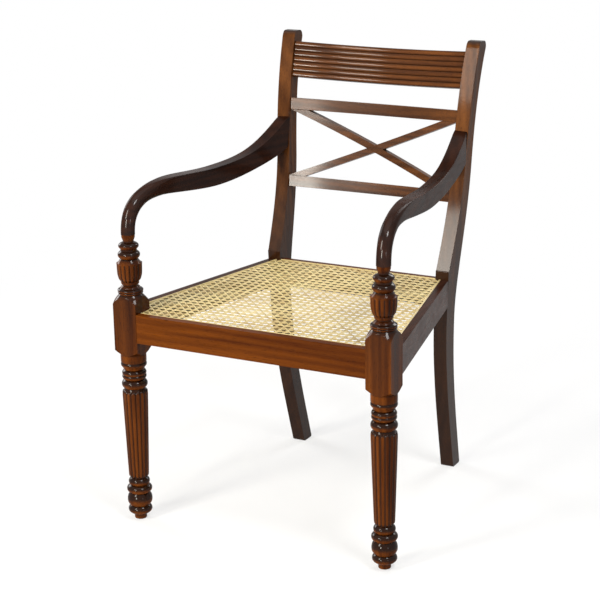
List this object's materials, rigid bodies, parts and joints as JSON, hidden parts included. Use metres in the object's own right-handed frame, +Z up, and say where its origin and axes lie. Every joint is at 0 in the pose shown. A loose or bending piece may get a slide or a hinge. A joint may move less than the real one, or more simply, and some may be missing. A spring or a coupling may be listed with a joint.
{
  "type": "open armchair",
  "caption": "Upright open armchair with a caned seat, turned and reeded front legs, sabre back legs, arms swept down onto the front legs, a reeded crest rail and a crossed-splat back.",
  "frame": {"origin": "on the floor, under the middle of the chair's bounding box", "axes": "+Z up, +Y towards the back, +X to the right as seen from in front of the chair"},
  "size_m": [0.578, 0.6088, 0.884],
  "materials": {
    "turned_mahogany": "french polished, dark stain in the turnings",
    "mahogany": "french polished, glossy",
    "pale_wood": "plain sawn, unpolished",
    "cane": "satin cane"
  },
  "bodies": {
    "root": {"front_leg_right": "turned_mahogany", "front_leg_left": "turned_mahogany", "back_leg_right": "mahogany", "back_leg_left": "mahogany", "arm_right": "mahogany", "arm_left": "mahogany", "seat_rail_side_right": "mahogany", "seat_rail_side_left": "mahogany", "seat_rail_front": "mahogany", "seat_rail_back": "mahogany", "crest_rail": "mahogany", "back_rail_upper": "mahogany", "back_rail_lower": "mahogany", "cross_splat_rising": "mahogany", "cross_splat_falling": "mahogany", "corner_block_front_right": "pale_wood", "corner_block_front_left": "pale_wood", "corner_block_back_right": "pale_wood", "corner_block_back_left": "pale_wood", "cane_seat": "cane", "cane_spline_front": "cane", "cane_spline_back": "cane", "cane_spline_side_right": "cane", "cane_spline_side_left": "cane"}
  },
  "joints": []
}
